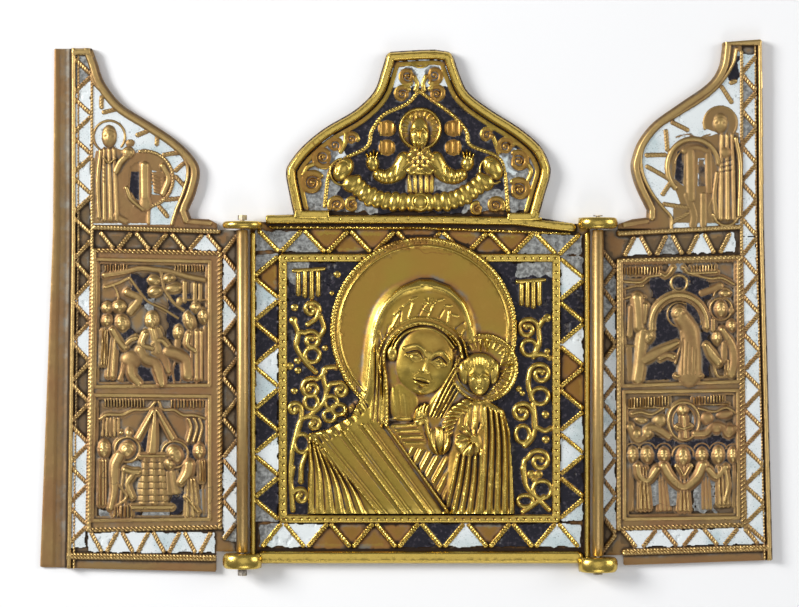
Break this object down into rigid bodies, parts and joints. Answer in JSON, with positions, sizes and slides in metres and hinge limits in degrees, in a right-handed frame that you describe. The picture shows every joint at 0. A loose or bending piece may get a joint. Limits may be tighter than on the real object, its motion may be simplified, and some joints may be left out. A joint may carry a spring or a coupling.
{
  "type": "folding cast icon triptych",
  "caption": "Folding cast brass travelling icon with enamel: an onion-arched middle leaf and two hinged wings that close over it.",
  "frame": {"origin": "centre of the middle leaf's rectangle, on its flat back, which lies on the surface", "axes": "+X to the viewer's right across the open wings, +Y towards the top of the arch, +Z out of the carved front"},
  "size_m": [0.1994, 0.1458, 0.0082],
  "materials": {
    "brass": "cast, worn bright on the high places",
    "wing_brass": "cast, brown patina, worn bright on the high places, with white enamel in its recesses",
    "iron": "dull grey"
  },
  "bodies": {
    "centre": {"centre_leaf": "brass"},
    "left_wing": {"left_leaf": "wing_brass", "upper_left_pin": "iron", "lower_left_pin": "iron"},
    "right_wing": {"right_leaf": "wing_brass", "upper_right_pin": "iron", "lower_right_pin": "iron"}
  },
  "joints": [
    {"name": "left_hinge", "type": "hinge", "parent": "centre", "child": "left_wing", "pos_m": [-0.0482, 0, 0.0044], "axis": [0, 1, 0], "range_deg": [0, 180]},
    {"name": "right_hinge", "type": "hinge", "parent": "centre", "child": "right_wing", "pos_m": [0.0482, 0, 0.0044], "axis": [0, -1, 0], "range_deg": [0, 180]}
  ]
}
